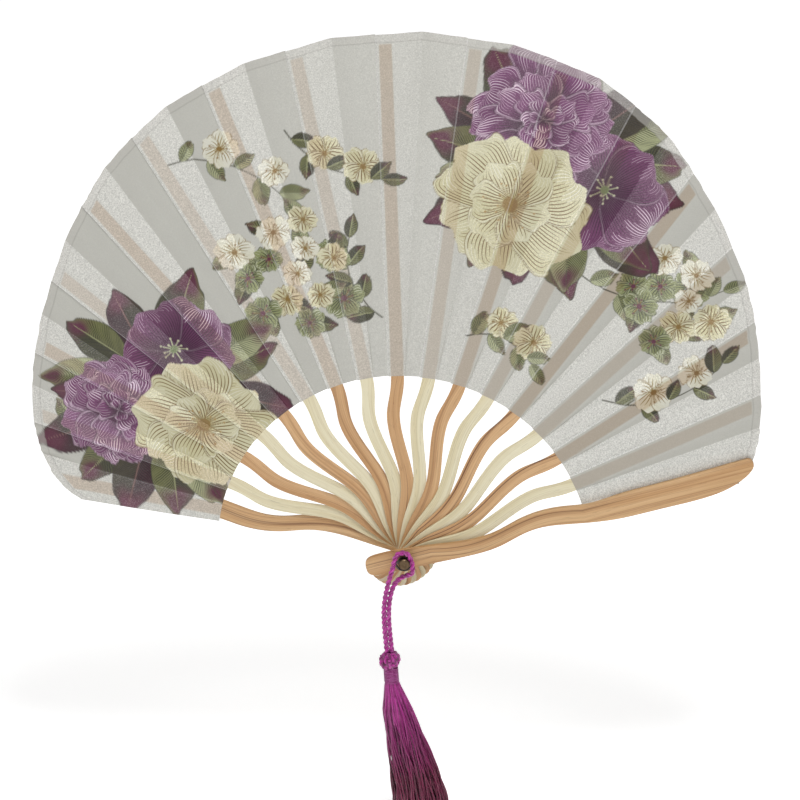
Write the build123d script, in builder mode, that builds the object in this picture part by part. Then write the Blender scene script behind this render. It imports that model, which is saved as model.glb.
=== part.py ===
from build123d import *
import os
from math import cos, pi, radians, sin, tan

os.makedirs("parts", exist_ok=True)

# A folding hand fan, spread open. +Y is the pivot's axis, the front of the fan faces -Y and +Z is up.
# Lengths are in millimetres. Angles are in degrees from +X, counter-clockwise as seen from the front.

# Opening
rib_total = 17  # two guards and the ribs between them
rib_step = 9.6
rear_angle = 168.8  # the rear guard, which the other ribs fold back to

# The stack at the pivot, from the back to the front
guard_thickness = 2.4
rib_thickness = 0.96
cloth_thickness = 0.15
gap = 0.1  # between neighbours that turn against each other
pitch = rib_thickness + 2 * (cloth_thickness + gap)
inner_depth = (rib_total - 2) * pitch + 2 * (cloth_thickness + gap) + cloth_thickness
half_depth = inner_depth / 2 + guard_thickness

# Ribs and guards, in a frame that runs out along the rib
rib_half_width = 3.4
rib_tail = 19.0
rib_wave = [(0, 0), (19, -0.8), (36, -3.1), (56, 0), (77, 2.9), (98, 0)]
rib_tip_margin = 5.0
guard_upper = [(-14, 6.2), (-3, 6.0), (22, 3.1), (38, 1.4), (51, 2.4), (63, 5.6), (76, 7.3), (88, 6.5),
               (101, 4.6), (116, 5.5), (137, 5.9)]
guard_lower = [(-14, -4.6), (2, -5.2), (22, -6.1), (38, -6.7), (51, -5.6), (63, -2.5), (73, -1.3),
               (88, -3.2), (101, -5.6), (113, -7.1), (135, -7.6)]
guard_tail = (-20.3, 1.0)
# Each guard's tip is rounded on its outer side: the upper edge's end, the nose, the lower edge's end
front_tip = (
    [(161, 6.4), (186, 7.2)],
    [(187.6, 0.2), (189.8, 3.4), (188.9, 6.3)],
    [(158, -7.8), (172, -6.4), (182, -3.2)],
)
rear_tip = (
    [(156, 6.2), (167, 5.2), (176, 2.4)],
    [(182.4, -1.8), (184.6, -4.6), (183.6, -7.0)],
    [(158, -7.8), (180, -7.8)],
)

# Leaf: the cloth's inner circle and its shell-shaped outer edge, as pairs of angle and radius
leaf_inner_radius = 97.5
leaf_outline = [(13, 176), (16, 188), (21, 198.5), (28, 210), (37, 227), (46, 243), (54, 258), (61, 270.5),
                (69, 280), (80, 285), (92, 285.5), (107, 280), (120, 269.5), (130, 255), (139.5, 238),
                (153, 217), (162, 202), (167, 190.5), (170.3, 178), (171.7, 168)]
leaf_rear_corner = (172.6, leaf_inner_radius)
leaf_rear_edge = 174.0  # past the leaf's own rear edge
leaf_front_edge = 13.4
fold_lead = 1.1  # each ridge fold lies this far ahead of its rib's middle
wedge_reach = 320.0

# Pivot
pin_radius = 1.5
hole_radius = 1.55
washer_radius = 4.6
washer_thickness = 0.5
rear_head_radius = 2.9
rear_head_height = 1.1
rear_head_taper = 0.7  # the head's flat end, as a share of its radius
boss_radius = 2.4
shoulder_radius = 2.9
lip_height = 0.7
lip_chamfer = 0.4
ring_radius = 4.4
ring_wire_radius = 0.6
hub_radius = 3.3
hub_clearance = 0.05
spoke_width = 1.3

# Tassel
cord_radius = 1.2
cord_gap = 0.1
rear_strand_gap = 0.15
cord_bend_share = 0.9  # how much of the shorter run beside a corner its two arcs may take up
knot_centre = (-7.6, -53.9)
knot_radius = 6.0
knot_half_height = 4.8
knot_flat_share = 0.86  # where the round knot is cut flat, as a share of its half height
neck_radius = 4.0
neck_height = 8.0
neck_lean = 0.6
skirt_sections = [(-6.3, 3.7, 3.5, 0), (-3.0, 8.0, 6.5, -16), (0.6, 9.8, 8.0, -31), (5.6, 12.6, 9.0, -49),
                  (8.6, 14.4, 9.6, -63), (9.6, 15.0, 10.0, -75)]

rear_guard_front = half_depth - guard_thickness
front_guard_back = guard_thickness - half_depth
front_face = -half_depth
rear_strand_y = front_face - rear_strand_gap - cord_radius
ring_back_y = rear_strand_y - cord_radius - cord_gap
ring_y = ring_back_y - ring_wire_radius
front_strand_y = ring_y - ring_wire_radius - cord_gap - cord_radius
boss_end_y = front_strand_y - cord_radius - 2 * cord_gap


def rib_angle(number):
    return rear_angle - number * rib_step


def rib_front(number):
    """The Y of the front face of rib `number`, counted from the rear guard."""
    return rear_guard_front - number * pitch


def along_rib(angle, back_y):
    """A plane whose X runs out along a rib; what is extruded from it grows towards the front."""
    out = (cos(radians(angle)), 0, sin(radians(angle)))
    return Plane(origin=(0, back_y, 0), x_dir=out, z_dir=(0, -1, 0))


def polar(angle, radius):
    return (radius * cos(radians(angle)), radius * sin(radians(angle)))


def leaf_radius(angle):
    """The outer edge's radius at an angle, between the two nearest points of the outline."""
    for (a, r), (b, s) in zip(leaf_outline, leaf_outline[1:]):
        if a <= angle <= b:
            return r + (s - r) * (angle - a) / (b - a)
    return leaf_outline[-1][1]


def guard(angle, back_y, tip):
    """A guard: a thick outer rib with a wave, a wide flat arm and a rounded tip."""
    upper_end, nose, lower_end = tip
    with BuildPart() as blade:
        with BuildSketch(along_rib(angle, back_y)):
            with BuildLine():
                upper = Spline(*guard_upper, *upper_end)
                lower = Spline(*guard_lower, *lower_end)
                Spline(lower @ 1, *nose, upper @ 1, tangents=(lower % 1, -(upper % 1)))
                Spline(upper @ 0, guard_tail, lower @ 0, tangents=(-(upper % 0), lower % 0))
            make_face()
            Circle(hole_radius, mode=Mode.SUBTRACT)
        extrude(amount=guard_thickness)
    return blade.part


def leaf_panel(high_angle, low_angle, back_y):
    """A flat piece of the leaf between two fold lines."""
    with BuildPart() as panel:
        with BuildSketch(along_rib(0, back_y)):
            with BuildLine():
                Spline(*[polar(a, r) for a, r in leaf_outline])
                Polyline(polar(*leaf_outline[-1]), polar(*leaf_rear_corner), (0, 0), polar(*leaf_outline[0]))
            make_face()
            Circle(leaf_inner_radius, mode=Mode.SUBTRACT)
            with BuildLine():
                wedge_ends = [polar(low_angle, wedge_reach), polar(high_angle, wedge_reach)]
                Polyline((0, 0), *wedge_ends, close=True)
            make_face(mode=Mode.INTERSECT)
        extrude(amount=cloth_thickness)
    return panel.part


def save(piece, name):
    piece.label = name
    export_step(piece, f"parts/{name}.step")


# Guards
save(guard(rear_angle, half_depth, rear_tip), "rear_guard")
save(guard(rib_angle(rib_total - 1), front_guard_back, front_tip), "front_guard")

# Ribs between the guards
for number in range(1, rib_total - 1):
    length = leaf_radius(rib_angle(number)) - rib_tip_margin
    with BuildPart() as rib:
        with BuildSketch(along_rib(rib_angle(number), rib_front(number) + rib_thickness)):
            with BuildLine():
                left = Spline(*[(u, v + rib_half_width) for u, v in rib_wave], tangents=((1, 0), (1, 0)))
                right = Spline(*[(u, v - rib_half_width) for u, v in rib_wave], tangents=((1, 0), (1, 0)))
                left_arm = Line(left @ 1, (length - rib_half_width, rib_half_width))
                right_arm = Line(right @ 1, (length - rib_half_width, -rib_half_width))
                ThreePointArc(left_arm @ 1, (length, 0), right_arm @ 1)
                left_tail = Line(left @ 0, (rib_half_width - rib_tail, rib_half_width))
                right_tail = Line(right @ 0, (rib_half_width - rib_tail, -rib_half_width))
                ThreePointArc(left_tail @ 1, (-rib_tail, 0), right_tail @ 1)
            make_face()
            Circle(hole_radius, mode=Mode.SUBTRACT)
        extrude(amount=rib_thickness)
    save(rib.part, f"rib_{number:02d}")

# Leaf: one half-pleat is bonded to the front of each rib, and the next one hangs free up to the next rib
for number in range(rib_total - 1):
    ridge = rib_angle(number) + fold_lead if number else leaf_rear_edge
    valley = rib_angle(number) + fold_lead - rib_step / 2
    next_ridge = rib_angle(number + 1) + fold_lead
    bonded = leaf_panel(ridge, valley, rib_front(number))
    free = leaf_panel(valley, next_ridge, rib_front(number) - cloth_thickness - gap)
    save(bonded, f"leaf_bonded_{number:02d}")
    save(free, f"leaf_free_{number:02d}")
last_ridge = rib_angle(rib_total - 1) + fold_lead
last_panel = leaf_panel(last_ridge, leaf_front_edge, front_guard_back + cloth_thickness)
save(last_panel, f"leaf_bonded_{rib_total - 1:02d}")

# Rear washer
with BuildPart() as rear_washer:
    with BuildSketch(along_rib(0, half_depth + washer_thickness)):
        Circle(washer_radius)
        Circle(hole_radius, mode=Mode.SUBTRACT)
    extrude(amount=washer_thickness)
save(rear_washer.part, "rear_washer")

# Pivot pin: a rear head, a thin shank through every rib, and a shouldered boss with a lip in front
rear_head_y = half_depth + washer_thickness
shoulder_y = front_face - gap
with BuildPart() as pivot_pin:
    with BuildSketch(Plane.XY):
        with BuildLine():
            Polyline(
                (0, boss_end_y - lip_height),
                (shoulder_radius - lip_chamfer, boss_end_y - lip_height),
                (shoulder_radius, boss_end_y - lip_height / 2),
                (shoulder_radius, boss_end_y),
                (boss_radius, boss_end_y),
                (boss_radius, ring_back_y),
                (shoulder_radius, ring_back_y),
                (shoulder_radius, shoulder_y),
                (pin_radius, shoulder_y),
                (pin_radius, rear_head_y),
                (rear_head_radius, rear_head_y),
                (rear_head_radius, rear_head_y + rear_head_height / 2),
                (rear_head_radius * rear_head_taper, rear_head_y + rear_head_height),
                (0, rear_head_y + rear_head_height),
                close=True,
            )
        make_face()
    revolve(axis=Axis.Y)
save(pivot_pin.part, "pivot_pin")

# Ring on the boss: a wire rim that stands off the front guard, two spokes and a hub
with BuildPart() as pivot_ring:
    with BuildSketch(Plane.XY):
        with Locations((ring_radius, ring_y)):
            Circle(ring_wire_radius)
    revolve(axis=Axis.Y)
    with BuildSketch(along_rib(0, ring_back_y)):
        Rectangle(2 * ring_radius, spoke_width)
        Circle(hub_radius)
        Circle(boss_radius + hub_clearance, mode=Mode.SUBTRACT)
    extrude(amount=2 * ring_wire_radius)
save(pivot_ring.part, "pivot_ring")

# Tassel cord: one length, up from the knot, over the boss, behind the ring's rim and down to the knot
knot_top = knot_centre[1] + knot_half_height * knot_flat_share
hang_y = front_strand_y
cord_route = [
    (-8.9, hang_y, knot_top),
    (-10.3, hang_y, -36.5),
    (-10.7, hang_y, -23.5),
    (-8.4, hang_y, -11.0),
    (-5.6, hang_y, -1.5),
    (-4.3, hang_y, 5.2),
    (1.2, hang_y, 6.4),
    (4.0, hang_y, 1.6),
    (4.5, hang_y + 0.2, -3.6),
    (4.0, hang_y + 2.4, -7.0),
    (-0.2, rear_strand_y - 0.2, -8.2),
    (-4.9, rear_strand_y - 1.2, -11.6),
    (-7.4, hang_y + 0.7, -18.5),
    (-8.0, hang_y, -28.0),
    (-7.2, hang_y, -38.0),
    (-6.3, hang_y, knot_top),
]


def corner_radius(before, corner, after):
    """The largest arc that leaves part of the shorter run straight."""
    first = Vector(*corner) - Vector(*before)
    second = Vector(*after) - Vector(*corner)
    tangent_length = cord_bend_share * min(first.length, second.length) / 2
    return tangent_length / tan(radians(first.get_angle(second)) / 2)


cord_radii = [corner_radius(*cord_route[i - 1 : i + 2]) for i in range(1, len(cord_route) - 1)]
print("cord radii", [round(r, 1) for r in cord_radii])
with BuildPart() as tassel_cord:
    with BuildLine() as cord_path:
        FilletPolyline(*cord_route, radius=cord_radii)
    with BuildSketch(Plane(origin=cord_path.wires()[0] @ 0, z_dir=cord_path.wires()[0] % 0)):
        Circle(cord_radius)
    sweep()
cord_length = cord_path.wires()[0].length
cord_plain_volume = pi * cord_radius**2 * cord_length
print("cord length", round(cord_length, 1))
print("cord volume / (section * length)", tassel_cord.part.volume / cord_plain_volume)
save(tassel_cord.part, "tassel_cord")

# Knot: a round knot with a flat top, where both ends of the cord go in, and a flat foot
knot_foot = knot_centre[1] - knot_half_height * knot_flat_share
flat_radius = knot_radius * (1 - knot_flat_share**2) ** 0.5
with BuildPart() as tassel_knot:
    with BuildSketch(Plane((knot_centre[0], hang_y, 0), x_dir=(1, 0, 0), z_dir=(0, -1, 0))):
        with BuildLine():
            Spline(
                (flat_radius, knot_foot),
                (knot_radius, knot_centre[1]),
                (flat_radius, knot_top),
            )
            Polyline((flat_radius, knot_top), (0, knot_top), (0, knot_foot), (flat_radius, knot_foot))
        make_face()
    revolve(axis=Axis((knot_centre[0], hang_y, 0), (0, 0, 1)))
save(tassel_knot.part, "tassel_knot")

# Neck: the thread wound round the top of the tassel
neck_foot = knot_foot - neck_height
neck_x = knot_centre[0] + neck_lean
with BuildPart() as tassel_neck:
    with BuildSketch(Plane.XY.offset(knot_foot)):
        with Locations((neck_x, hang_y)):
            Circle(neck_radius)
    with BuildSketch(Plane.XY.offset(neck_foot)):
        with Locations((neck_x + neck_lean, hang_y)):
            Circle(neck_radius)
    loft()
save(tassel_neck.part, "tassel_neck")

# Skirt: the hanging threads as one spreading bundle
with BuildPart() as tassel_skirt:
    for centre_x, half_width, half_thickness, drop in skirt_sections:
        with BuildSketch(Plane.XY.offset(neck_foot + drop)):
            with Locations((centre_x, hang_y)):
                Ellipse(half_width, half_thickness)
    loft()
save(tassel_skirt.part, "tassel_skirt")
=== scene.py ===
from math import cos, pi, radians, sin

import bpy
import numpy as np
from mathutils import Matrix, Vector


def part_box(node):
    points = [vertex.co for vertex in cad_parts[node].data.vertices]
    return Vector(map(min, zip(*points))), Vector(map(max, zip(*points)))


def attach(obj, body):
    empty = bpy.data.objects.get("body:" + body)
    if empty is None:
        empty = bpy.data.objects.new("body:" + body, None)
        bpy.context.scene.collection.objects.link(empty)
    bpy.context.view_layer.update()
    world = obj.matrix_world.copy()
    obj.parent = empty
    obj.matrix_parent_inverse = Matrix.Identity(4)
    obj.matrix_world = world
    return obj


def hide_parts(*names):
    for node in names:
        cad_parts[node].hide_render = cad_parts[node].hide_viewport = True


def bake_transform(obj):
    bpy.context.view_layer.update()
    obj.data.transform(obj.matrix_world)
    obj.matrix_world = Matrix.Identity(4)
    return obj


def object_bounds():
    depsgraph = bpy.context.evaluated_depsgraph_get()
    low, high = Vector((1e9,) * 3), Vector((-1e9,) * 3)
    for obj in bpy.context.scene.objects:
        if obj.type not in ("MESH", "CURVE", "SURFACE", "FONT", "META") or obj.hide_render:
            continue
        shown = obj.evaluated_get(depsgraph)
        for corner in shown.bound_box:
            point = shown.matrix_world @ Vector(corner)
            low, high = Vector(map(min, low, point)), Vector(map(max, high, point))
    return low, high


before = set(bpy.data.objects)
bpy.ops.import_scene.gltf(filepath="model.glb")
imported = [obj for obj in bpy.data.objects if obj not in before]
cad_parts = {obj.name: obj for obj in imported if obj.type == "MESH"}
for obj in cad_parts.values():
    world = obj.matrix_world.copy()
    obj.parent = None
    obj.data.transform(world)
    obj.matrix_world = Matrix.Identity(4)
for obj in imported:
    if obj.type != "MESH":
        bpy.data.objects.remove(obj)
cad_low, cad_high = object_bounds()

# A folding hand fan: two bamboo guards, fifteen ribs, a pleated satin leaf, and a tassel on the pivot.
# The shapes are worked out in millimetres and turned to metres when a mesh is made.
# Angles are in degrees from +X, counter-clockwise as seen from the front, which faces -Y.
MM = 0.001
RIB_STEP = 9.6
REAR_ANGLE = 168.8
LAST = 16  # the front guard's number, counted from the rear guard
SEED = 4


def srgb(red, green, blue):
    """A colour given as on a screen, from 0 to 255, as the shaders take it."""
    return (np.array([red, green, blue]) / 255) ** 2.2


def rgba(colour):
    return (*[float(c) for c in colour], 1.0)


def rib_node(number):
    return {0: "rear_guard", LAST: "front_guard"}.get(number, f"rib_{number:02d}")


def rib_angle(number):
    return REAR_ANGLE - RIB_STEP * number


def beside(place, heading, distance):
    """The (x, z) of what lies a distance from a place, in the direction of the heading."""
    return place + distance * np.array([cos(radians(heading)), sin(radians(heading))])


def on_fan(angle, radius):
    """(x, z) in millimetres of a place on the open fan."""
    return beside(np.zeros(2), angle, radius)


# ---------------------------------------------------------------- materials


class Material:
    """A Principled material, with a short call for each node that it needs."""

    def __init__(self, name, **sockets):
        self.data = bpy.data.materials.new(name)
        self.data.use_nodes = True
        self.tree = self.data.node_tree
        self.skin = self.tree.nodes["Principled BSDF"]
        for socket, value in sockets.items():
            self.skin.inputs[socket.replace("_", " ").title().replace("Ior", "IOR")].default_value = value

    def add(self, kind, sockets=None, **settings):
        """A node; a socket's value is a number, a colour or another node's output."""
        node = self.tree.nodes.new("ShaderNode" + kind)
        for name, value in settings.items():
            setattr(node, name, value)
        for name, value in (sockets or {}).items():
            self.join(value, node.inputs[name])
        return node

    def join(self, value, socket):
        if isinstance(value, bpy.types.NodeSocket):
            self.tree.links.new(value, socket)
        else:
            socket.default_value = value

    def attribute(self, name, output="Fac"):
        return self.add("Attribute", attribute_name=name).outputs[output]

    def stretched(self, vector, scale):
        return self.add("Mapping", {"Vector": vector, "Scale": scale}).outputs[0]

    def noise(self, vector, detail=3.0, roughness=0.5, distortion=0.0):
        sockets = {"Vector": vector, "Scale": 1.0, "Detail": detail, "Roughness": roughness,
                   "Distortion": distortion}
        return self.add("TexNoise", sockets).outputs["Fac"]

    def between(self, value, low, high, to_low=0.0, to_high=1.0):
        """The value, with low to high stretched over to_low to to_high and cut off there."""
        sockets = {"Value": value, "From Min": low, "From Max": high, "To Min": to_low, "To Max": to_high}
        return self.add("MapRange", sockets).outputs["Result"]

    def math(self, first, second, operation="MULTIPLY"):
        node = self.add("Math", operation=operation)
        self.join(first, node.inputs[0])
        self.join(second, node.inputs[1])
        return node.outputs[0]

    def mix(self, share, first, second, blend_type="MIX"):
        node = self.add("Mix", data_type="RGBA", blend_type=blend_type)
        self.join(share, node.inputs["Factor"])
        self.join(first, node.inputs[6])
        self.join(second, node.inputs[7])
        return node.outputs[2]

    def bump(self, height, distance, strength=1.0):
        bump = self.add("Bump", {"Height": height, "Distance": distance, "Strength": strength})
        self.join(bump.outputs[0], self.skin.inputs["Normal"])

    def wear(self, *objects):
        """Puts this material on the objects."""
        for o in objects:
            o.data.materials.clear()
            o.data.materials.append(self.data)


WAVE_START = 0.015  # the grain follows the ribs' wave, which is one sine between these places along a rib
WAVE_END = 0.097
WAVE_HEIGHT = 0.003


def bamboo(name, angle, pale, brown, grain, streaks):
    """Bamboo whose fibres run out along a rib, with soft bands, and dark streaks where it has them."""
    made = Material(name, roughness=0.5, coat_weight=0.12, coat_roughness=0.35)
    place = made.add("TexCoord").outputs["Object"]
    turned = made.add("Mapping", {"Vector": place, "Rotation": (0, radians(angle), 0)}).outputs[0]
    parts = made.add("SeparateXYZ", {"Vector": turned}).outputs
    bend = made.math(made.between(parts["X"], WAVE_START, WAVE_END, 0.0, 2 * pi), 0.0, "SINE")
    across = made.math(parts["Z"], made.math(bend, WAVE_HEIGHT), "ADD")
    grain_place = made.add("CombineXYZ", {"X": parts["X"], "Y": parts["Y"], "Z": across}).outputs[0]
    offset = 3.7 * angle
    band = made.noise(made.stretched(grain_place, (9, 40 + offset, 330)), 2.0)
    fibre = made.noise(made.stretched(grain_place, (16, 500 + offset, 2300)), 4.0, 0.6)
    fleck = made.noise(made.stretched(grain_place, (120, 90 + offset, 2900)), 2.0)
    streak = made.noise(made.stretched(grain_place, (5, 70 + offset, 700)), 3.0, 0.6, 0.4)
    colour = made.mix(made.between(band, 0.36, 0.66), rgba(pale), rgba(brown))
    colour = made.mix(made.between(fibre, 0.48, 0.72, 0.0, 0.55), colour, rgba(grain))
    colour = made.mix(made.between(fleck, 0.66, 0.72, 0.0, 0.5), colour, rgba(grain * 0.55))
    colour = made.mix(made.between(streak, 0.56, 0.66, 0.0, streaks), colour, rgba(grain * 0.6))
    made.join(colour, made.skin.inputs["Base Color"])
    made.join(made.between(fibre, 0.3, 0.7, 0.38, 0.62), made.skin.inputs["Roughness"])
    made.bump(made.math(fibre, made.math(fleck, 0.5), "ADD"), 0.00012, 0.6)
    return made


def metal(name, colour, tarnish, roughness):
    """Polished metal with fine scratches and darker tarnish."""
    made = Material(name, metallic=1.0, roughness=roughness)
    place = made.add("TexCoord").outputs["Object"]
    patch = made.noise(made.stretched(place, (420, 420, 420)), 4.0, 0.6)
    scratch = made.noise(made.stretched(place, (600, 9000, 5200)), 3.0)
    tone = made.mix(made.between(patch, 0.4, 0.68), rgba(colour), rgba(tarnish))
    made.join(tone, made.skin.inputs["Base Color"])
    made.join(made.between(scratch, 0.3, 0.7, roughness, roughness + 0.2), made.skin.inputs["Roughness"])
    made.bump(scratch, 0.00003, 0.4)
    return made


def thread(name, deep, mid, light, ends=None):
    """Lustrous rayon thread, with pale streaks that are partly its own tone and partly painted highlight, and
    painted shade on the ends when given. The fibre attribute holds the way along and round, and each strand's
    number.
    """
    made = Material(name, roughness=0.38, sheen_weight=0.35, sheen_roughness=0.4, anisotropic=0.4)
    fibre = made.add("Attribute", attribute_name="fibre").outputs["Vector"]
    parts = made.add("SeparateXYZ", {"Vector": fibre}).outputs
    hair = made.noise(made.stretched(fibre, (0.35, 3.2, 9.0)), 3.0, 0.6)
    colour = made.mix(parts["Z"], rgba(deep), rgba(mid))
    # pale streaks along the fibres: partly the thread's own tone, partly painted highlight
    colour = made.mix(made.between(hair, 0.5, 0.74, 0.0, 0.8), colour, rgba(light))
    # painted shade on the ends, growing along each thread over FADE
    if ends is not None:
        colour = made.mix(made.between(parts["X"], *FADE), colour, rgba(ends), "MULTIPLY")
    made.join(colour, made.skin.inputs["Base Color"])
    made.bump(hair, 0.00012, 0.7)
    return made


def satin():
    """The leaf's satin: the print, the ribs that show through, the hem, a fine glitter of threads with painted
    glints, and painted light and shade on the pleats' slopes and ridges.
    """
    made = Material("printed_satin", roughness=0.45, sheen_weight=0.06, sheen_roughness=0.35,
                    specular_ior_level=0.35)
    print_colour = made.attribute("print", "Color")
    rib = made.attribute("rib_behind")
    edge = made.attribute("from_edge")
    place = made.attribute("cloth", "Vector")
    lit = made.attribute("painted_light")
    stroke = made.add("SeparateXYZ", {"Vector": made.attribute("stroke", "Vector")}).outputs
    wave = made.math(made.math(stroke["X"], 2 * pi), 0.0, "COSINE")
    inked = made.between(made.math(wave, made.math(stroke["Y"], 2.0), "ADD"), 0.75, 1.25)
    ink = made.attribute("stroke_ink", "Color")
    print_colour = made.mix(made.math(inked, stroke["Z"]), print_colour, ink)
    glitter = made.noise(made.stretched(place, (1500, 600, 1500)), 3.0, 0.8)
    cloud = made.noise(made.stretched(place, (34, 34, 34)), 3.0)
    tan = made.mix(1.0, print_colour, rgba(srgb(234, 219, 206)), "MULTIPLY")
    colour = made.mix(rib, print_colour, tan)
    hem = made.between(edge, HEM_WIDTH - 0.25, HEM_WIDTH + 0.25, 0.42, 0.0)
    colour = made.mix(hem, colour, rgba(srgb(206, 203, 197)))
    inner_fold = made.between(edge, HEM_WIDTH - 0.6, HEM_WIDTH - 0.1)
    outer_fold = made.between(edge, HEM_WIDTH + 0.6, HEM_WIDTH + 0.1)
    fold = made.math(inner_fold, outer_fold)
    colour = made.mix(made.math(fold, 0.35), colour, rgba(srgb(150, 146, 140)))
    colour = made.mix(made.between(cloud, 0.35, 0.7, 0.0, 0.10), colour, rgba(srgb(180, 176, 170)))
    # painted shade on the slopes in shade, painted light on the lit slopes, and a painted highlight along the
    # ridges
    colour = made.mix(made.between(lit, 0.0, 1.0, 1.0, 0.15), colour, (0.77, 0.77, 0.755, 1), "MULTIPLY")
    colour = made.mix(made.between(lit, 0.0, 1.0, 0.0, 0.06), colour, (1, 1, 1, 1))
    colour = made.mix(made.between(lit, 1.1, RIDGE_PAINTED_HIGHLIGHT, 0.0, 0.16), colour, (1, 1, 1, 1))
    # painted glints: light flecks and dark specks of painted shade, strongest where the painted light is; the
    # glitter noise also sets the real roughness and bump
    painted_glint_amount = made.between(lit, 0.0, 1.0, 0.15, 1.0)
    painted_glint = made.math(made.between(glitter, 0.52, 0.62), painted_glint_amount)
    colour = made.mix(painted_glint, colour, (1.26, 1.26, 1.26, 1), "MULTIPLY")
    colour = made.mix(made.math(painted_glint, 0.08), colour, (1, 1, 1, 1))
    shade = made.math(made.between(glitter, 0.47, 0.36), painted_glint_amount)
    colour = made.mix(shade, colour, (0.74, 0.74, 0.74, 1), "MULTIPLY")
    made.join(colour, made.skin.inputs["Base Color"])
    made.join(made.between(glitter, 0.35, 0.65, 0.5, 0.3), made.skin.inputs["Roughness"])
    made.bump(glitter, 0.00012, 0.8)
    return made


# ------------------------------------------------------------------- meshes


def new_mesh(name, points, faces, smooth=True):
    """An object from points in millimetres and a (n, 4) array of faces."""
    mesh = bpy.data.meshes.new(name)
    mesh.vertices.add(len(points))
    mesh.vertices.foreach_set("co", (np.asarray(points) * MM).astype(np.float32).ravel())
    faces = np.asarray(faces, np.int32)
    mesh.loops.add(faces.size)
    mesh.loops.foreach_set("vertex_index", faces.ravel())
    mesh.polygons.add(len(faces))
    mesh.polygons.foreach_set("loop_start", np.arange(len(faces), dtype=np.int32) * faces.shape[1])
    mesh.polygons.foreach_set("use_smooth", np.full(len(faces), smooth))
    mesh.update(calc_edges=True)
    mesh.validate()
    made = bpy.data.objects.new(name, mesh)
    bpy.context.scene.collection.objects.link(made)
    return made


def set_attribute(obj, name, values, kind="FLOAT"):
    field = {"FLOAT": "value", "FLOAT_VECTOR": "vector", "FLOAT_COLOR": "color"}[kind]
    attribute = obj.data.attributes.new(name, kind, "POINT")
    attribute.data.foreach_set(field, np.asarray(values, np.float32).ravel())


def grid_faces(rows, columns, start=0, closed=False):
    """Faces between neighbouring rows of points, and round from the last column to the first if closed."""
    strips = columns if closed else columns - 1
    row, column = np.meshgrid(np.arange(rows - 1), np.arange(strips), indexing="ij")
    after = (column + 1) % columns
    this_row, next_row = row * columns, (row + 1) * columns
    corners = [this_row + column, this_row + after, next_row + after, next_row + column]
    return start + np.stack(corners, axis=-1).reshape(-1, 4)


def lengths(path):
    """How far along a path each of its points is."""
    return np.concatenate([[0], np.cumsum(np.linalg.norm(np.diff(path, axis=0), axis=1))])


def frames_along(path, aside):
    """Two directions across a path at each of its points, carried along it without twisting."""
    tangent = np.gradient(path, axis=0)
    tangent /= np.linalg.norm(tangent, axis=1)[:, None]
    across = np.cross(tangent[0], aside)
    first = []
    for t in tangent:
        across = across - t * (across @ t)
        across = across / np.linalg.norm(across)
        first.append(across)
    first = np.array(first)
    return first, np.cross(tangent, first)


def tubes(name, paths, radius, sides, rng):
    """One mesh of round tubes along the paths, narrowed at both ends to 0.3 of their radius."""
    points, faces, fibre = [], [], []
    start = 0
    for path in paths:
        path = np.asarray(path, float)
        first, second = frames_along(path, (0.3, 0.9, 0.2))
        size = np.full(len(path), float(radius))
        size[[0, -1]] *= 0.3
        around = np.linspace(0, 2 * pi, sides, endpoint=False)
        ring = first[:, None] * np.cos(around)[:, None] + second[:, None] * np.sin(around)[:, None]
        points.append((path[:, None] + size[:, None, None] * ring).reshape(-1, 3))
        strand = rng.random()
        both = np.stack(np.broadcast_arrays(lengths(path)[:, None], around[None], strand), axis=-1)
        fibre.append(both.reshape(-1, 3))
        faces.append(grid_faces(len(path), sides, start, closed=True)[:, ::-1])
        start += len(path) * sides
    made = new_mesh(name, np.concatenate(points), np.concatenate(faces))
    set_attribute(made, "fibre", np.concatenate(fibre), "FLOAT_VECTOR")
    return made


def soften(node, width):
    """A small round on a CAD node's edges."""
    weld = node.modifiers.new("weld", "WELD")
    weld.merge_threshold = 0.00002
    bevel = node.modifiers.new("round", "BEVEL")
    bevel.width = width * MM
    bevel.segments = 2
    bevel.limit_method = "ANGLE"
    bevel.angle_limit = radians(50)


# ----------------------------------------------------------------- the leaf

HEM_WIDTH = 4.5
LAP = 4.4  # from a rib's middle to the fold beside it
REAR_LAP = 8.3  # the same on the wide rear guard, on its inner side
FOLD_WIDTH = 0.85  # the cloth turns round the rib's edge over this much
BONDED_LIFT = 0.08
FREE_LIFT = 0.3
PLEAT_SLOPE = 0.018  # how much deeper the pleats get with each millimetre outwards
PLEAT_START = 85.0
RIDGE_PAINTED_HIGHLIGHT = 1.6  # painted highlight on the ridges; in the painted light, the slopes that catch the light from above have 1, those in shade 0
REAR_CORNER = (172.6, 97.5)
REAR_EDGE = (171.7, 168.0)
FRONT_EDGE_ANGLE = 13.4
RIB_HALF_WIDTH = 3.6  # a little more than the rib's own, because it shows softly through the cloth
RIB_TIP_MARGIN = 5.0


def leaf_nodes():
    return sorted(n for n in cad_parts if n.startswith("leaf_"))


def outer_edge():
    """Angles and radii of the leaf's outer edge, read from the CAD leaf's corners."""
    places = np.concatenate([[v.co[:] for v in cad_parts[n].data.vertices] for n in leaf_nodes()]) / MM
    angle = np.degrees(np.arctan2(places[:, 2], places[:, 0]))
    radius = np.hypot(places[:, 0], places[:, 2])
    step = 0.4
    bins = np.round(angle / step).astype(int)
    found = [(b * step, radius[bins == b].max()) for b in sorted(set(bins[radius > 150]))]
    return np.array(found).T, radius.min()


(edge_angles, edge_radii), INNER_RADIUS = outer_edge()
rib_fronts = [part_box(rib_node(k))[0].y / MM for k in range(LAST)]
rib_fronts = np.array(rib_fronts + [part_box("front_guard")[1].y / MM])  # the leaf is behind the front guard


def edge_radius(angle):
    return np.interp(angle, edge_angles, edge_radii)


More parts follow.
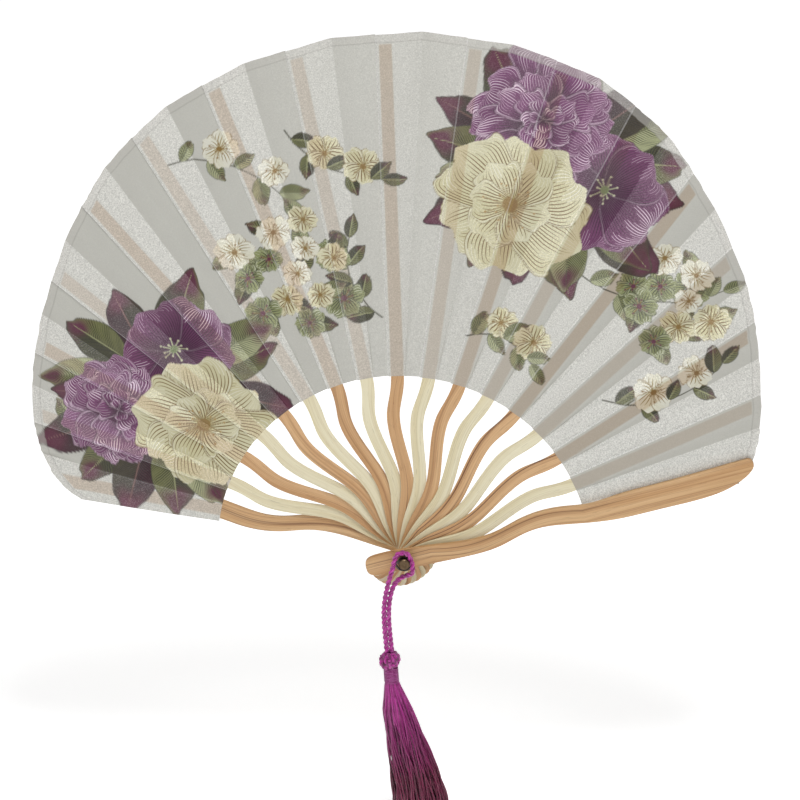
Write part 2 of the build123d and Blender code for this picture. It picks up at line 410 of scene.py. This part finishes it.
def sideways(distance, radius):
    """The angle of a distance to the side, at a radius."""
    return np.degrees(np.arcsin(np.clip(distance / radius, -1, 1)))


def smooth_step(value):
    value = np.clip(value, 0, 1)
    return value * value * (3 - 2 * value)


BONDED_FLAT, BONDED_SLOPE, FREE_SLOPE, FREE_FLAT, FOLD = range(5)


def leaf_place(number, zone, share, radius):
    """Angle, depth and turning weight of the leaf, at a share of the way over a zone of pleat `number`."""
    rear = number == 0
    rib = rib_angle(number)
    ridge = rib + sideways(LAP, radius)
    valley = ridge - RIB_STEP / 2
    next_ridge = ridge - RIB_STEP
    lap = np.where(rear, REAR_LAP, LAP)
    rear_side = np.interp(radius, (REAR_CORNER[1], REAR_EDGE[1]), (REAR_CORNER[0], REAR_EDGE[0]))
    start = np.where(rear, rear_side, ridge)
    flat_end = np.maximum(rib - sideways(lap, radius), valley + 0.4)
    flat_end = np.where(number == LAST, FRONT_EDGE_ANGLE, flat_end)
    free_end = next_ridge + sideways(FOLD_WIDTH, radius)
    free_start = np.minimum(next_ridge + sideways(LAP + lap, radius), valley - 0.3)
    depth = PLEAT_SLOPE * (radius - PLEAT_START) * np.where(rear, smooth_step((radius - 160) / 35), 1)
    front = rib_fronts[number]
    behind_guard = number == LAST
    bonded = front + np.where(behind_guard, BONDED_LIFT, -BONDED_LIFT)
    free = front - FREE_LIFT
    following = np.minimum(number + 1, LAST)
    next_bonded = rib_fronts[following] + np.where(following == LAST, BONDED_LIFT, -BONDED_LIFT)
    zones = [zone == z for z in range(5)]
    angle = np.select(zones, [
        start + (flat_end - start) * share,
        flat_end + (valley - flat_end) * share,
        valley + (free_start - valley) * share,
        free_start + (free_end - free_start) * share,
        free_end + (next_ridge - free_end) * share,
    ])
    y = np.select(zones, [
        bonded + 0 * share,
        bonded + depth * share**1.1,
        free + (depth + FREE_LIFT - BONDED_LIFT) * (1 - share) ** 1.1,
        free + 0 * share,
        free + (next_bonded - free) * smooth_step(share),
    ])
    turning = np.where(zone >= FREE_SLOPE, np.clip((valley - angle) / (RIB_STEP / 2), 0, 1), 0)
    return angle, y, (number + turning) / LAST


def leaf_columns():
    """The leaf's lines from the inner to the outer edge, as pleat number, zone and share of that zone."""
    columns = []
    for number in range(LAST + 1):
        flat = 24 if number == 0 else 12
        columns += [(number, BONDED_FLAT, i / flat) for i in range(flat + 1)]
        if number < LAST:
            columns += [(number, BONDED_SLOPE, i / 21) for i in range(1, 22)]
            columns += [(number, FREE_SLOPE, i / 21) for i in range(1, 22)]
            columns += [(number, FREE_FLAT, i / 12) for i in range(1, 13)]
            columns += [(number, FOLD, i / 5) for i in range(1, 5)]
    return [np.array(c)[:, None] for c in zip(*columns)]


def leaf_grid():
    number, zone, share = leaf_columns()
    outer = np.full(number.shape, 250.0)
    for _ in range(4):
        outer = edge_radius(leaf_place(number, zone, share, outer)[0])
    inside = np.linspace(0, 1, 310)[None]
    hem = np.linspace(0, 1, 8)[None, 1:]
    radius = np.concatenate([
        INNER_RADIUS + (outer - HEM_WIDTH - INNER_RADIUS) * inside,
        outer - HEM_WIDTH * (1 - hem),
    ], axis=1)
    angle, y, weight = leaf_place(number, zone, share, radius)
    return number, zone, angle, radius, y, weight, outer - radius


class Print:
    """Ink on the cloth: every motif is laid over what is already there."""

    def __init__(self, x, z, ground):
        self.x, self.z = x, z
        self.colour = np.tile(ground, (len(x), 1))
        self.stroke = np.tile([0, NO_FILL, 0], (len(x), 1))
        self.stroke_ink = np.tile(ground, (len(x), 1))

    def local(self, centre, heading, reach):
        """The points near a place, with how far each is ahead of it and to its left."""
        dx, dz = self.x - centre[0], self.z - centre[1]
        near = np.nonzero((abs(dx) < reach) & (abs(dz) < reach))[0]
        c, s = cos(radians(heading)), sin(radians(heading))
        return near, dx[near] * c + dz[near] * s, dz[near] * c - dx[near] * s

    def lay(self, near, cover, colour):
        cover = np.clip(cover, 0, 1)[:, None]
        self.colour[near] += (colour - self.colour[near]) * cover

    def hatch(self, near, cover, wave, fill, strength, ink):
        """Fine strokes for the shader: the wave counts them, and fill is how much cloth they cover."""
        inside = cover > 0.5
        near, ink = near[inside], np.broadcast_to(ink, (len(cover), 3))[inside]
        self.stroke[near] = np.column_stack([wave, fill, strength + 0 * wave])[inside]
        self.stroke_ink[near] = ink

    def line(self, points, width, colour, taper=0.6):
        """A brush line through the points, thinner towards its end."""
        points = np.array(points, float)
        centre = points.mean(0)
        reach = np.abs(points - centre).max() + 3
        near, u, v = self.local(centre, 0, reach)
        gap = np.full(len(near), 1e9)
        for i, (a, b) in enumerate(zip(points, points[1:])):
            a, b = a - centre, b - centre
            d = b - a
            t = np.clip(((u - a[0]) * d[0] + (v - a[1]) * d[1]) / (d @ d), 0, 1)
            half = width / 2 * (1 - taper * (i + t) / (len(points) - 1))
            gap = np.minimum(gap, np.hypot(u - a[0] - t * d[0], v - a[1] - t * d[1]) - half)
        self.lay(near, 0.5 - gap / 0.45, colour)
        self.stroke[near[gap < 0.2], 1] = NO_FILL

    def blade(self, centre, heading, length, width, profile, ruffle=0.0, phase=0.0):
        """A petal's or leaf's points, with shares of its length and half width, and how far they are inside."""
        near, u, v = self.local(centre, heading, 1.1 * length + width)
        rise, power, fall = profile
        across = v / width
        ruffled = np.sin(6 * across + phase) + 0.3 * np.sin(13 * across + 2 * phase)
        t = u / length * (1 + ruffle * ruffled)
        c = np.clip(t, 0, 1)
        sample = np.linspace(0, 1, 60)
        top = (sample**rise * (1 - sample**power) ** fall).max()
        half = width / top * c**rise * (1 - c**power) ** fall * (1 + 0.5 * ruffle * np.sin(11 * c + phase))
        rim = np.where((t > 0) & (t < 1), half - abs(v), -9)
        keep = rim > -0.6
        return near[keep], c[keep], (v / np.maximum(half, 0.3))[keep], rim[keep]

    def petal(self, centre, heading, length, width, ink, ruffle=0.05, phase=0.0):
        near, t, g, rim = self.blade(centre, heading, length, width, PETAL, ruffle, phase)
        cover = 0.5 + rim / 0.6
        blend = smooth_step(t / ink["base"])[:, None]
        hollow = np.clip(0.35 + 0.5 * np.sin(2.3 * g + phase), 0, 1)[:, None] * ink["hollow"]
        body = ink["deep"] + (ink["mid"] - ink["deep"]) * blend
        self.lay(near, cover, body + (ink["deep"] - body) * hollow)
        wave = g * max(3, round(2 * width / ink["spacing"])) / 2 + 0.12 * np.sin(7 * t + phase)
        uneven = np.sin(5.3 * np.round(wave) + phase)
        patch = np.clip(0.55 + 0.7 * np.sin(2.4 * g + 2 * phase), 0, 1)
        veins = ink["hatch"] * (1 - t / (ink["vein_reach"] + 0.13 * uneven))
        share = ink["rim_hatch"] * (0.1 + 0.9 * patch) * (0.55 + 0.45 * sin(3.7 * phase))
        feathers = share * (t - 0.58 - 0.16 * uneven) / 0.3
        outer = feathers > veins
        fill = np.clip(np.where(rim < 0.45, NO_FILL, np.where(outer, feathers, veins)), NO_FILL, 0.62)
        colours = np.where(outer[:, None], ink["pale"], ink["vein"])
        self.hatch(near, cover, wave, fill, 0.92, colours)
        self.lay(near, np.clip(1 - abs(rim - 0.8) / 0.8, 0, 1) * ink["rim"], ink["pale"])
        self.lay(near, np.clip(1 - abs(rim - 0.05) / 0.42, 0, 1) * ink["line"], ink["outline"])

    def leaf(self, centre, heading, length, width, ink, phase=0.0):
        near, t, g, rim = self.blade(centre, heading, length, width, LEAF, 0.035, phase)
        cover = 0.5 + rim / 0.6
        side = np.clip(0.5 + g * 4, 0, 1)[:, None]
        self.lay(near, cover, ink["mid"] * side + ink["light"] * (1 - side))
        tip = smooth_step((t - 0.55) / 0.3)[:, None] * ink["blush"]
        self.lay(near, cover * smooth_step((t - 0.6) / 0.3) * ink["blush"] * 0.25, BURGUNDY)
        rising = (t * length - abs(g) * width * 0.9) / 1.35
        uneven = np.sin(5.3 * np.round(rising) + phase)
        veins = 0.42 + 0.12 * uneven + 0.1 * np.sign(g) - 0.3 * abs(g)
        fill = np.where((rim < 0.4) | (abs(g * width) < 0.5), NO_FILL, veins)
        self.hatch(near, cover, rising, fill, 0.85, ink["deep"] + (BURGUNDY - ink["deep"]) * tip)
        self.lay(near, np.clip(1 - abs(g * width) / 0.55, 0, 1) * (t < 0.93), ink["rib"])
        self.lay(near, np.clip(1 - abs(rim - 0.05) / 0.45, 0, 1) * 0.8, ink["outline"])

    def flower(self, centre, radius, petals, turn, ink, rings=1, width=0.52, ruffle=0.06):
        """Rings of overlapping petals, each ring shorter than the one outside it."""
        for ring in range(rings):
            length = radius * (1 - 0.42 * ring)
            for i in range(petals):
                phase = 2.4 * i + 1.1 * ring
                heading = turn + 360 * (i + 0.5 * ring) / petals + 5 * sin(3 * phase)
                size = length * (1 + 0.09 * sin(1.9 * phase + turn))
                self.petal(centre, heading, size, size * width, ink, ruffle, phase)

    def peony(self, centre, radius, turn, ink):
        """A full double flower: rings of short, wide petals, like scales that overlap inwards."""
        rings = ((1.0, 6), (0.86, 6), (0.68, 5), (0.50, 4), (0.34, 4), (0.20, 3))
        for ring, (share, petals) in enumerate(rings):
            for i in range(petals):
                phase = 2.1 * i + 1.7 * ring + turn
                heading = turn + 360 * (i + 0.5 * (ring % 2)) / petals + 9 * sin(2.3 * phase)
                reach = radius * share * (1 + 0.10 * sin(3.1 * phase))
                length = min(reach, 0.72 * radius * (0.4 + 0.6 * share))
                base = beside(centre, heading, reach - length)
                width = length * (0.60 + 0.12 * sin(4.1 * phase))
                self.petal(base, heading + 20 * sin(phase), length, width, ink, 0.07, phase)

    def stamens(self, centre, radius, count, turn, line, tip, heart):
        """A flower's middle: lines that spread out, with a dot at each end, round a small heart."""
        for i in range(count):
            angle = turn + 360 * i / count + 9 * sin(5 * i)
            end = beside(centre, angle, radius * (0.72 + 0.28 * sin(2.7 * i)))
            self.line([centre, end], 0.55, line, 0.2)
            self.dot(end, 0.55, tip)
        self.dot(centre, radius * 0.28, heart)

    def dot(self, centre, radius, colour):
        near, u, v = self.local(centre, 0, radius + 1)
        cover = 0.5 + (radius - np.hypot(u, v)) / 0.5
        self.lay(near, cover, colour)
        self.stroke[near[cover > 0.2], 1] = NO_FILL

    def stem(self, start, heading, length, bend):
        """A curved stem; gives the places and headings along it."""
        steps = 10
        places, headings = [np.array(start, float)], [heading]
        for i in range(steps):
            heading += bend / steps
            places.append(beside(places[-1], heading, length / steps))
            headings.append(heading)
        self.line(places, 0.8, VINE, 0.4)
        return places, headings


NO_FILL = -0.25
PETAL = (0.55, 5.0, 0.55)  # rise from the base, roundness and fall towards the tip
LEAF = (0.62, 1.5, 0.95)
BURGUNDY = srgb(96, 26, 60)
VINE = srgb(66, 66, 44)
CLOTH = srgb(208, 207, 200)
GOLD = srgb(140, 108, 44)
PURPLE = dict(deep=srgb(74, 20, 62), mid=srgb(124, 60, 112), vein=srgb(50, 10, 42), pale=srgb(234, 212, 228),
              outline=srgb(54, 12, 46), hatch=0.55, rim_hatch=0.62, vein_reach=0.55, spacing=1.5, hollow=0.4,
              rim=0.45, line=0.75, base=0.8)
VIOLET = dict(PURPLE, deep=srgb(80, 28, 68), mid=srgb(114, 52, 100), rim_hatch=0.2, rim=0.25, hatch=0.5,
              vein_reach=0.8)
CREAM = dict(deep=srgb(178, 166, 96), mid=srgb(224, 219, 184), vein=srgb(118, 88, 22),
             pale=srgb(246, 244, 230), outline=srgb(124, 98, 34), hatch=0.6, rim_hatch=0.12,
             vein_reach=0.85, spacing=1.9, hollow=0.35, rim=0.4, line=0.85, base=0.35)
PEARL = dict(CREAM, deep=srgb(214, 206, 160), mid=srgb(234, 232, 218), vein=srgb(148, 122, 48), hatch=0.45,
             vein_reach=0.7, outline=srgb(140, 112, 48))
DARK_GREEN = dict(deep=srgb(26, 26, 14), mid=srgb(68, 68, 36), light=srgb(112, 114, 70),
                  rib=srgb(160, 162, 118), outline=srgb(44, 38, 30), blush=0.8)
SAGE = dict(deep=srgb(54, 58, 26), mid=srgb(126, 130, 82), light=srgb(172, 176, 134), rib=srgb(66, 70, 42),
            outline=srgb(60, 62, 40), blush=0.6)
WINE = dict(deep=srgb(26, 8, 16), mid=srgb(64, 20, 38), light=srgb(58, 50, 26), rib=srgb(136, 100, 96),
            outline=srgb(44, 18, 32), blush=0.9)
GREEN_BLOOM = dict(deep=srgb(62, 70, 32), mid=srgb(142, 148, 98), vein=srgb(42, 46, 20),
                   pale=srgb(210, 214, 186), outline=srgb(52, 56, 36), hatch=0.5, rim_hatch=0.3,
                   vein_reach=0.8, spacing=1.5, hollow=0.4, rim=0.4, line=0.85, base=0.5)


LEAF_INKS = (WINE, DARK_GREEN, WINE, DARK_GREEN, SAGE)


def paint_bouquet(cloth, draw, middle, turn, size, leaves):
    """A peony, a cream bloom and a violet bloom round a middle, over leaves that point outwards."""
    for i in range(leaves):
        heading = turn + 360 * (i + 0.5 * draw.random()) / leaves
        length = size * (0.95 + 0.35 * draw.random())
        base = beside(middle, heading, size * (0.55 + 0.3 * draw.random()))
        turned = heading + 40 * (draw.random() - 0.5)
        cloth.leaf(base, turned, length, 0.27 * length, LEAF_INKS[i % len(LEAF_INKS)], 2.1 * i)
    peony, cream, violet = (beside(middle, turn + 120 * i, 0.72 * size) for i in range(3))
    cloth.flower(violet, 0.78 * size, 5, turn, VIOLET, 1, 0.64, 0.05)
    cloth.stamens(violet, 0.2 * size, 11, turn, srgb(196, 202, 160), srgb(214, 214, 180), srgb(120, 132, 90))
    cloth.peony(peony, 0.9 * size, turn, PURPLE)
    cloth.flower(cream, 0.95 * size, 6, 2 * turn, CREAM, 2, 0.58, 0.06)
    cloth.stamens(cream, 0.36 * size, 18, turn, GOLD, srgb(170, 128, 50), srgb(150, 120, 60))


def paint_vine(cloth, draw, start, heading, length, bend, inks):
    """A flowering vine: leaves on alternate sides, small blossoms between them, and a bud leaf at its end."""
    places, headings = cloth.stem(start, heading, length, bend)
    leaf_ink, bloom_ink = inks
    for i in range(1, len(places), 2):
        side = 50 if i % 4 == 1 else -50
        leaf_size = 12 + 4 * draw.random()
        cloth.leaf(places[i], headings[i] + side, leaf_size, 0.29 * leaf_size, leaf_ink, i + heading)
        if i % 4 == 3:
            bloom = beside(places[i], headings[i] - side, 9)
            paint_blossom(cloth, bloom, 8 + 3 * draw.random(), 90 * draw.random(), bloom_ink)
    cloth.leaf(places[-1], headings[-1], 13, 3.5, leaf_ink, heading)


def paint_blossom(cloth, centre, size, turn, ink):
    """One small five-petalled blossom."""
    heart = BURGUNDY if ink is GREEN_BLOOM else GOLD
    cloth.flower(centre, size, 5, turn, ink, 1, 0.5, 0.05)
    cloth.stamens(centre, 0.55 * size, 7, turn, GOLD, heart, heart)


def paint_print(cloth):
    """A generic floral print: flowering vines, sprays of loose blossoms, then the bouquets over them."""
    draw = np.random.default_rng(PRINT_SEED)
    for angle, radius, heading, length, bend, inks in VINES:
        paint_vine(cloth, draw, on_fan(angle, radius), heading, length, bend, inks)
    for angle, radius, spread, count in SPRAYS:
        middle = on_fan(angle, radius)
        for i in range(count):
            place = beside(middle, GOLDEN_ANGLE * i, spread * ((i + 0.5) / count) ** 0.5)
            cloth.leaf(place, GOLDEN_ANGLE * i + 60, 15, 4.5, SAGE if i % 2 else DARK_GREEN, i)
            ink = SPRAY_INKS[i % len(SPRAY_INKS)]
            paint_blossom(cloth, place, 7 + 3 * draw.random(), 90 * draw.random(), ink)
    for angle, radius, turn, size, leaves in BOUQUETS:
        paint_bouquet(cloth, draw, on_fan(angle, radius), turn, size, leaves)


PRINT_SEED = 11
GOLDEN_ANGLE = 137.5  # from each blossom of a spray to the next, which keeps them apart
SPRAY_INKS = (PEARL, GREEN_BLOOM, CREAM)
# The print's plan: angle and radius on the fan, then what the function that draws it asks for
BOUQUETS = ((70, 225, 100, 40, 18), (146, 150, 200, 36, 16))
SPRAYS = ((112, 165, 32, 12), (45, 200, 26, 8))
VINES = (
    (120, 245, 20, 70, -70, (SAGE, PEARL)),
    (105, 240, -60, 60, 60, (DARK_GREEN, CREAM)),
    (95, 130, 150, 50, -70, (DARK_GREEN, GREEN_BLOOM)),
    (60, 180, -40, 80, 60, (SAGE, GREEN_BLOOM)),
    (40, 135, -20, 70, 70, (DARK_GREEN, PEARL)),
    (75, 125, 20, 40, -80, (SAGE, CREAM)),
    (160, 185, 80, 50, -50, (SAGE, PEARL)),
)


def make_leaf():
    number, zone, angle, radius, y, weight, from_edge = leaf_grid()
    x, z = radius * np.cos(np.radians(angle)), radius * np.sin(np.radians(angle))
    points = np.stack([x, y - 0.12 * (from_edge < HEM_WIDTH), z], axis=-1).reshape(-1, 3)
    columns, rows = angle.shape
    leaf = new_mesh("leaf", points, grid_faces(columns, rows))
    cloth = Print(x.ravel(), z.ravel(), CLOTH)
    paint_print(cloth)
    opaque = np.ones(len(points))
    set_attribute(leaf, "print", np.column_stack([cloth.colour, opaque]), "FLOAT_COLOR")
    set_attribute(leaf, "stroke", cloth.stroke, "FLOAT_VECTOR")
    set_attribute(leaf, "stroke_ink", np.column_stack([cloth.stroke_ink, opaque]), "FLOAT_COLOR")
    set_attribute(leaf, "cloth", points * MM, "FLOAT_VECTOR")
    set_attribute(leaf, "from_edge", from_edge)
    off_rib = np.abs(radius * np.sin(np.radians(angle - rib_angle(number))))
    over_rib = np.clip((RIB_HALF_WIDTH - off_rib) / 0.5, 0, 1) * (zone == BONDED_FLAT)
    shows = over_rib * np.clip((from_edge - RIB_TIP_MARGIN) / 0.8, 0, 1)
    tone = np.where(number % 2, 0.7, 1.0)
    set_attribute(leaf, "rib_behind", shows * tone)
    # Painted light and shade: slopes that face the light from above get 1, those that face away 0, and the
    # ridges' folds a painted highlight
    bonded_lit = np.clip(0.6 - np.cos(np.radians(angle)), 0, 1)
    zones = [zone == BONDED_FLAT, zone == BONDED_SLOPE, zone == FOLD]
    painted_light = np.select(zones, [0.8 * bonded_lit, bonded_lit, RIDGE_PAINTED_HIGHLIGHT], 1 - bonded_lit)
    set_attribute(leaf, "painted_light", painted_light)
    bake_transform(leaf)
    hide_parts(*leaf_nodes())
    satin().wear(leaf)
    return leaf


leaf = make_leaf()


# ------------------------------------------------------------ ribs and guards

PALE_BAMBOO = (srgb(228, 220, 190), srgb(216, 204, 166), srgb(188, 170, 128))
BROWN_BAMBOO = (srgb(212, 172, 126), srgb(190, 145, 98), srgb(142, 92, 54))
GUARD_BAMBOO = (srgb(212, 174, 128), srgb(190, 146, 98), srgb(128, 80, 44))
STREAKED_RIBS = (8, 12, 14)

for number in range(LAST + 1):
    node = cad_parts[rib_node(number)]
    if number in (0, LAST):
        tones, streaks = GUARD_BAMBOO, 0.7
    elif number % 2:
        tones, streaks = PALE_BAMBOO, 0.15
    else:
        tones, streaks = BROWN_BAMBOO, 1.0 if number in STREAKED_RIBS else 0.35
    bamboo(f"bamboo_{number:02d}", rib_angle(number), *tones, streaks).wear(node)
    soften(node, 0.5 if number in (0, LAST) else 0.2)


# -------------------------------------------------------------------- pivot

metal("dark_steel", srgb(96, 92, 88), srgb(48, 44, 42), 0.28).wear(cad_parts["pivot_ring"])
metal("brass", srgb(112, 94, 74), srgb(60, 48, 38), 0.34).wear(
    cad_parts["pivot_pin"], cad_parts["rear_washer"])
for name in ("pivot_ring", "pivot_pin", "rear_washer"):
    soften(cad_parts[name], 0.12)


# ------------------------------------------------------------------- tassel

HANG_Y = -18.825
REAR_STRAND_Y = -15.025
KNOT_CENTRE = (-7.6, -53.9)
KNOT_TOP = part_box("tassel_knot")[1].z / MM
KNOT_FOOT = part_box("tassel_knot")[0].z / MM
NECK_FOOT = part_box("tassel_neck")[0].z / MM
# centre x, half width, half thickness and drop below the neck's foot
SKIRT_SECTIONS = [(-6.3, 3.7, 3.5, 0), (-3.0, 8.0, 6.5, -16), (0.6, 9.8, 8.0, -31), (5.6, 12.6, 9.0, -49),
                  (8.6, 14.4, 9.6, -63), (9.6, 15.0, 10.0, -75)]
CORD_ROUTE = [
    (-8.9, HANG_Y, KNOT_TOP),
    (-10.3, HANG_Y, -36.5),
    (-10.7, HANG_Y, -23.5),
    (-8.4, HANG_Y, -11.0),
    (-5.6, HANG_Y, -1.5),
    (-4.3, HANG_Y, 5.2),
    (1.2, HANG_Y, 6.4),
    (4.0, HANG_Y, 1.6),
    (4.5, HANG_Y + 0.2, -3.6),
    (4.0, HANG_Y + 2.4, -7.0),
    (-0.2, REAR_STRAND_Y - 0.2, -8.2),
    (-4.9, REAR_STRAND_Y - 1.2, -11.6),
    (-7.4, HANG_Y + 0.7, -18.5),
    (-8.2, HANG_Y, -28.0),
    (-7.6, HANG_Y, -38.0),
    (-6.3, HANG_Y, KNOT_TOP),
]
MAGENTA = (srgb(96, 8, 72), srgb(176, 36, 142), srgb(236, 140, 216))
SKIRT_MAGENTA = (srgb(104, 8, 76), srgb(182, 40, 146), srgb(232, 120, 200))
PAINTED_SHADE_ENDS = srgb(170, 120, 120)  # painted shade: the skirt's threads get darker and redder on their way down
FADE = (12.0, 55.0)


def spline_points(route):
    """Points along the NURBS spline of a route, in the route's own units."""
    curve = bpy.data.curves.new("route", "CURVE")
    curve.dimensions = "3D"
    spline = curve.splines.new("NURBS")
    spline.points.add(len(route) - 1)
    for point, place in zip(spline.points, route):
        point.co = (*place, 1)
    spline.order_u = 3
    spline.use_endpoint_u = True
    spline.resolution_u = 16
    holder = bpy.data.objects.new("route", curve)
    mesh = bpy.data.meshes.new_from_object(holder)
    line = np.array([v.co[:] for v in mesh.vertices])
    bpy.data.objects.remove(holder)
    bpy.data.curves.remove(curve)
    bpy.data.meshes.remove(mesh)
    return line


def evenly(line, step):
    """The line again, with its points a step apart."""
    along = lengths(line)
    at = np.linspace(0, along[-1], int(along[-1] / step) + 2)
    return np.stack([np.interp(at, along, line[:, i]) for i in range(3)], axis=1), at


def plies(line, count, offset, turn_length):
    """Helical paths round a line, as the plies of a rope."""
    line, along = evenly(line, 0.35)
    first, second = frames_along(line, (0.1, 1.0, 0.2))
    made = []
    for i in range(count):
        angle = 2 * pi * (along / turn_length + i / count)
        made.append(line + offset * (np.cos(angle)[:, None] * first + np.sin(angle)[:, None] * second))
    return made


rng = np.random.default_rng(SEED)
thread_material = thread("magenta_thread", *MAGENTA)
skirt_material = thread("skirt_thread", *SKIRT_MAGENTA, PAINTED_SHADE_ENDS)

cord_line = spline_points(CORD_ROUTE)
cord = tubes("cord", plies(cord_line, 2, 0.62, 5.6), 0.80, 12, rng)

# The knot: a cord wound over and under itself round a core
knot_turn = np.linspace(0, 2 * pi, 420)
knot_latitude = 0.98 * np.sin(7 * knot_turn)
knot_longitude = 4 * knot_turn
knot_size = 4.75 + 0.5 * np.sin(11 * knot_turn)
knot_path = np.stack([
    KNOT_CENTRE[0] + knot_size * np.cos(knot_latitude) * np.cos(knot_longitude),
    HANG_Y + knot_size * np.cos(knot_latitude) * np.sin(knot_longitude),
    KNOT_CENTRE[1] + 0.86 * knot_size * np.sin(knot_latitude),
], axis=1)
knot_core = np.array([(KNOT_CENTRE[0], HANG_Y, KNOT_CENTRE[1] + 4.2 * s) for s in np.linspace(-1, 1, 9)])
knot = tubes("knot", plies(knot_path, 2, 0.5, 4.6), 0.62, 8, rng)
core = tubes("knot_core", [knot_core], 4.1, 20, rng)

# The neck: thread wound tightly round the top of the skirt
wind = np.linspace(0, 1, 360)
neck_top = np.array([KNOT_CENTRE[0] + 0.6, HANG_Y, KNOT_FOOT + 0.6])
neck_low = np.array([KNOT_CENTRE[0] + 1.2, HANG_Y, NECK_FOOT + 0.2])
neck_axis = neck_top + (neck_low - neck_top) * wind[:, None]
wind_turn = 2 * pi * 10 * wind
winding = neck_axis + 3.5 * np.stack([np.cos(wind_turn), np.sin(wind_turn), 0 * wind], axis=1)
neck = tubes("neck", [winding], 0.46, 8, rng)
neck_core = tubes("neck_core", [neck_axis[::20]], 3.4, 20, rng)

# The skirt: separate threads that spread as they hang
drops = np.array([s[3] for s in SKIRT_SECTIONS], float)
threads = []
for _ in range(420):
    reach = rng.random() ** 0.5
    around = 2 * pi * rng.random()
    end = drops[-1] + 5.0 * rng.random() ** 2
    at = np.linspace(1.0, end, 24)
    centre, width, thickness = (np.interp(-at, -drops, [s[i] for s in SKIRT_SECTIONS]) for i in range(3))
    sway = np.clip(-at / 30, 0, 1)
    phase = 2 * pi * rng.random(2)
    wave = [1.1 * sway * np.sin(-at / 9 + p) for p in phase]
    turned = around + 0.35 * sway * (rng.random() - 0.5)
    threads.append(np.stack([
        centre + 0.97 * reach * width * np.cos(turned) + wave[0],
        HANG_Y + 0.97 * reach * thickness * np.sin(turned) + wave[1],
        NECK_FOOT + at,
    ], axis=1))
skirt = tubes("skirt", threads, 0.38, 6, rng)

tassel_pieces = [cord, knot, core, neck, neck_core, skirt]
thread_material.wear(*tassel_pieces[:-1])
skirt_material.wear(skirt)
for piece in tassel_pieces:
    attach(piece, "tassel")
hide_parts("tassel_cord")
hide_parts("tassel_knot")
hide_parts("tassel_neck")
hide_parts("tassel_skirt")


# ------------------------------------------------------- floor, light, camera


def make_floor():
    level = cad_low.z / MM - 4
    reach = 9000
    floor = new_mesh("floor", [(-reach, -reach, level), (reach, -reach, level), (reach, reach, level),
                               (-reach, reach, level)], [(0, 1, 2, 3)], smooth=False)
    paint = Material("floor_paint", roughness=0.9, base_color=rgba(srgb(252, 252, 252)),
                     emission_color=(1, 1, 1, 1), emission_strength=0.45)
    paint.wear(floor)


def light(name, place, target, size, power):
    data = bpy.data.lights.new(name, "AREA")
    data.shape = "DISK"
    data.size = size
    data.energy = power
    lamp = bpy.data.objects.new(name, data)
    lamp.location = place
    lamp.rotation_euler = (Vector(target) - Vector(place)).to_track_quat("-Z", "Y").to_euler()
    bpy.context.scene.collection.objects.link(lamp)


def make_world(strength):
    world = bpy.data.worlds.new("studio")
    world.use_nodes = True
    world.node_tree.nodes["Background"].inputs["Color"].default_value = (1, 1, 1, 1)
    world.node_tree.nodes["Background"].inputs["Strength"].default_value = strength
    bpy.context.scene.world = world


def make_camera():
    """From the front, a little above, and from far away, so that there is little perspective."""
    elevation = radians(20)
    view_width = 0.417
    target = Vector((-0.0021, 0, 0.084))
    data = bpy.data.cameras.new("camera")
    data.lens = 700
    data.sensor_width = 36
    distance = view_width * data.lens / data.sensor_width
    data.clip_end = 50
    camera = bpy.data.objects.new("camera", data)
    back = Vector((0, -cos(elevation), sin(elevation)))
    camera.location = target + distance * back
    camera.rotation_euler = (-back).to_track_quat("-Z", "Y").to_euler()
    bpy.context.scene.collection.objects.link(camera)
    bpy.context.scene.camera = camera


make_floor()
make_world(0.19)
light("key", (0.15, -0.9, 1.45), (0, 0, 0.12), 0.6, 14.5)
light("rim", (-1.5, -0.3, 0.35), (0, 0, 0.12), 0.6, 2)
light("overhead", (0, 0.9, 2.2), (0, 0.9, -0.15), 2.2, 22)
make_camera()
bpy.context.scene.view_settings.view_transform = "Standard"
